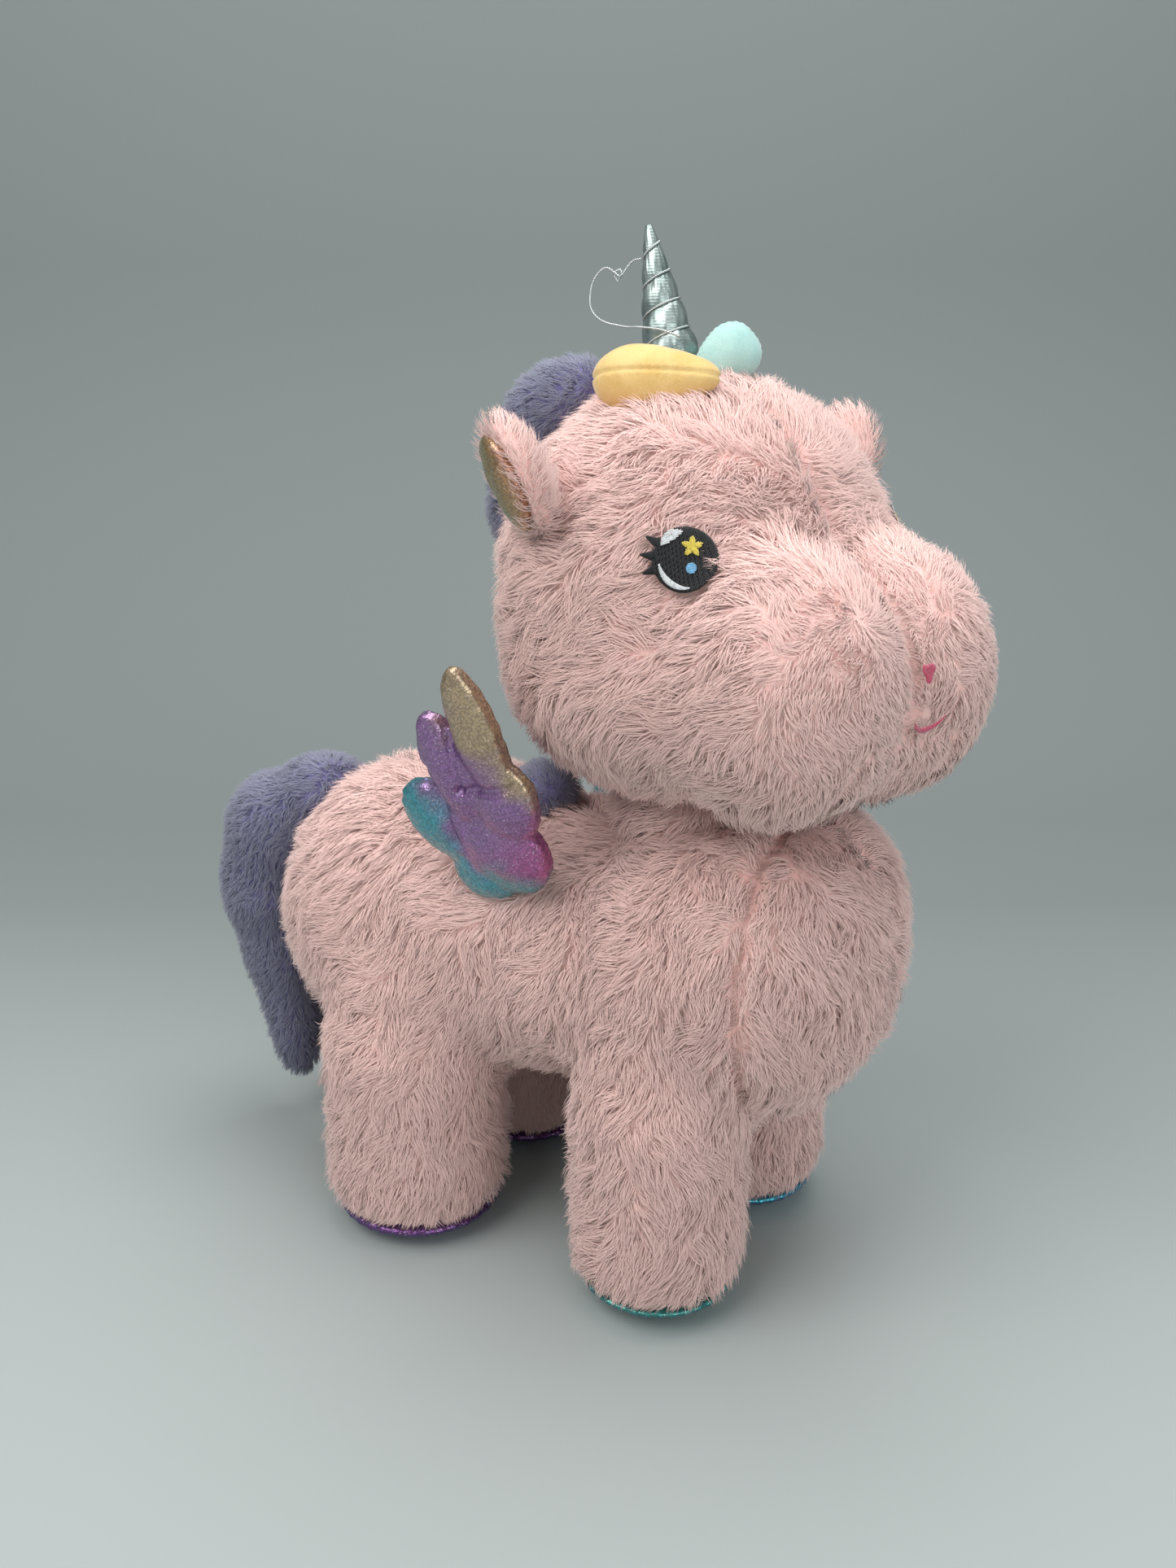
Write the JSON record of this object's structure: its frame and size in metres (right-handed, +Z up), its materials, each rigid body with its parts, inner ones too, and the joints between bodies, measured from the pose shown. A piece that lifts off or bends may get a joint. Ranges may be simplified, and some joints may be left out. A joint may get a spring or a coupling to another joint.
{
  "type": "plush unicorn",
  "caption": "Standing plush unicorn toy: a round furry head and torso on stubby tube legs, with a padded horn, ears, petals, wings, mane and tail.",
  "frame": {"origin": "on the ground, under the centre of the toy's bounding box", "axes": "+Z up, +X towards the nose, +Y to the unicorn's left"},
  "size_m": [0.2668, 0.1438, 0.3123],
  "materials": {
    "pink_plush": "long pale pink faux-fur pile, matt",
    "stuffing": "white polyester fibre, matt",
    "lavender_plush": "short lavender plush pile, matt",
    "foil_knit": "iridescent foil-printed knit with a fine dot mesh, gold to purple to teal",
    "copper_foil_knit": "iridescent copper and gold foil-printed knit",
    "green_foil_knit": "iridescent green foil-printed knit",
    "teal_foil_knit": "iridescent teal foil-printed knit",
    "violet_foil_knit": "dark iridescent violet foil-printed knit",
    "yellow_velour": "warm yellow velour, matt",
    "mint_velour": "mint velour, matt",
    "silver_cloth": "silver metallic cloth",
    "silver_thread": "silver metallic thread",
    "black_thread": "black satin-stitch embroidery thread",
    "white_thread": "white embroidery thread",
    "yellow_thread": "yellow embroidery thread",
    "blue_thread": "blue embroidery thread",
    "crimson_thread": "crimson embroidery thread"
  },
  "bodies": {
    "torso": {"torso_side_right": "pink_plush", "torso_side_left": "pink_plush", "chest_right": "pink_plush", "chest_left": "pink_plush", "belly": "pink_plush", "torso_stuffing": "stuffing", "mane_nape_tuft": "lavender_plush"},
    "neck": {"neck_stuffing": "stuffing"},
    "head": {"head_side_right": "pink_plush", "head_side_left": "pink_plush", "head_chin": "pink_plush", "head_stuffing": "stuffing", "mane_crest": "lavender_plush", "mane_fall": "lavender_plush", "eye_black_right": "black_thread", "eye_black_left": "black_thread", "eye_star_right": "yellow_thread", "eye_star_left": "yellow_thread", "eye_blue_dot_right": "blue_thread", "eye_blue_dot_left": "blue_thread", "eye_white_glint_right": "white_thread", "eye_white_glint_left": "white_thread", "eye_white_crescent_right": "white_thread", "eye_white_crescent_left": "white_thread", "nose": "crimson_thread", "mouth": "crimson_thread"},
    "ear_right": {"ear_outer_right": "pink_plush", "ear_lining_right": "copper_foil_knit"},
    "ear_left": {"ear_outer_left": "pink_plush", "ear_lining_left": "copper_foil_knit"},
    "wing_right": {"wing_outer_face_right": "foil_knit", "wing_inner_face_right": "foil_knit", "wing_stuffing_right": "stuffing"},
    "wing_left": {"wing_outer_face_left": "foil_knit", "wing_inner_face_left": "foil_knit", "wing_stuffing_left": "stuffing"},
    "petal_yellow": {"petal_yellow_cover": "yellow_velour", "petal_yellow_stuffing": "stuffing"},
    "petal_mint": {"petal_mint_cover": "mint_velour", "petal_mint_stuffing": "stuffing"},
    "tail": {"tail_cover": "lavender_plush", "tail_stuffing": "stuffing"},
    "horn": {"horn_cover": "silver_cloth", "horn_stuffing": "stuffing", "horn_winding": "silver_thread"},
    "horn_loop": {"horn_loose_loop": "silver_thread"},
    "leg_front_right": {"leg_front_right_skin": "pink_plush", "leg_front_right_stuffing": "stuffing", "sole_front_right": "green_foil_knit"},
    "leg_front_left": {"leg_front_left_skin": "pink_plush", "leg_front_left_stuffing": "stuffing", "sole_front_left": "teal_foil_knit"},
    "leg_rear_right": {"leg_rear_right_skin": "pink_plush", "leg_rear_right_stuffing": "stuffing", "sole_rear_right": "violet_foil_knit"},
    "leg_rear_left": {"leg_rear_left_skin": "pink_plush", "leg_rear_left_stuffing": "stuffing", "sole_rear_left": "violet_foil_knit"}
  },
  "joints": [
    {"name": "neck_turn", "type": "hinge", "parent": "torso", "child": "neck", "pos_m": [0.0533, 0, 0.1465], "axis": [0, 0, 1], "range_deg": [-12, 12], "stiffness_Nm_per_rad": 0.35},
    {"name": "head_nod", "type": "hinge", "parent": "neck", "child": "head", "pos_m": [0.0533, 0, 0.1465], "axis": [0.342, 0.9397, 0], "range_deg": [-10, 3], "stiffness_Nm_per_rad": 0.35},
    {"name": "ear_right_fold", "type": "hinge", "parent": "head", "child": "ear_right", "pos_m": [0.03005, -0.05219, 0.232], "axis": [-0.7813, 0.6241, 0.012], "range_deg": [-10, 10], "stiffness_Nm_per_rad": 0.01},
    {"name": "ear_left_fold", "type": "hinge", "parent": "head", "child": "ear_left", "pos_m": [0.06904, 0.05493, 0.232], "axis": [0.9996, -0.0241, -0.012], "range_deg": [-10, 10], "stiffness_Nm_per_rad": 0.01},
    {"name": "wing_right_flap", "type": "hinge", "parent": "torso", "child": "wing_right", "pos_m": [0.0063, -0.038, 0.126], "axis": [1, 0, 0], "range_deg": [0, 30], "stiffness_Nm_per_rad": 0.02},
    {"name": "wing_left_flap", "type": "hinge", "parent": "torso", "child": "wing_left", "pos_m": [0.0063, 0.038, 0.126], "axis": [-1, 0, 0], "range_deg": [0, 30], "stiffness_Nm_per_rad": 0.02},
    {"name": "petal_yellow_lift", "type": "hinge", "parent": "head", "child": "petal_yellow", "pos_m": [0.02835, -0.02178, 0.268], "axis": [0.1055, -0.9944, 0], "range_deg": [0, 20], "stiffness_Nm_per_rad": 0.01},
    {"name": "petal_mint_fold", "type": "hinge", "parent": "head", "child": "petal_mint", "pos_m": [0.05416, 0.0082, 0.271], "axis": [0.342, 0.9397, 0], "range_deg": [-10, 10], "stiffness_Nm_per_rad": 0.01},
    {"name": "tail_lift", "type": "hinge", "parent": "torso", "child": "tail", "pos_m": [-0.0777, -0.004, 0.141], "axis": [0, 1, 0], "range_deg": [0, 50], "stiffness_Nm_per_rad": 0.05},
    {"name": "horn_wobble", "type": "hinge", "parent": "head", "child": "horn", "pos_m": [0.03826, 0.00547, 0.275], "axis": [0.342, 0.9397, 0], "range_deg": [-8, 8], "stiffness_Nm_per_rad": 0.02},
    {"name": "horn_loop_swing", "type": "hinge", "parent": "horn", "child": "horn_loop", "pos_m": [0.02753, -0.00062, 0.2852], "axis": [-0.1381, 0.4066, 0.9031], "range_deg": [-15, 15], "stiffness_Nm_per_rad": 0.0005},
    {"name": "leg_front_right_swing", "type": "hinge", "parent": "torso", "child": "leg_front_right", "pos_m": [0.0573, -0.033, 0.063], "axis": [0, 1, 0], "range_deg": [-8, 8], "stiffness_Nm_per_rad": 2},
    {"name": "leg_front_left_swing", "type": "hinge", "parent": "torso", "child": "leg_front_left", "pos_m": [0.0573, 0.033, 0.063], "axis": [0, 1, 0], "range_deg": [-8, 8], "stiffness_Nm_per_rad": 2},
    {"name": "leg_rear_right_swing", "type": "hinge", "parent": "torso", "child": "leg_rear_right", "pos_m": [-0.0327, -0.033, 0.063], "axis": [0, 1, 0], "range_deg": [-8, 8], "stiffness_Nm_per_rad": 2},
    {"name": "leg_rear_left_swing", "type": "hinge", "parent": "torso", "child": "leg_rear_left", "pos_m": [-0.0327, 0.033, 0.063], "axis": [0, 1, 0], "range_deg": [-8, 8], "stiffness_Nm_per_rad": 2}
  ]
}
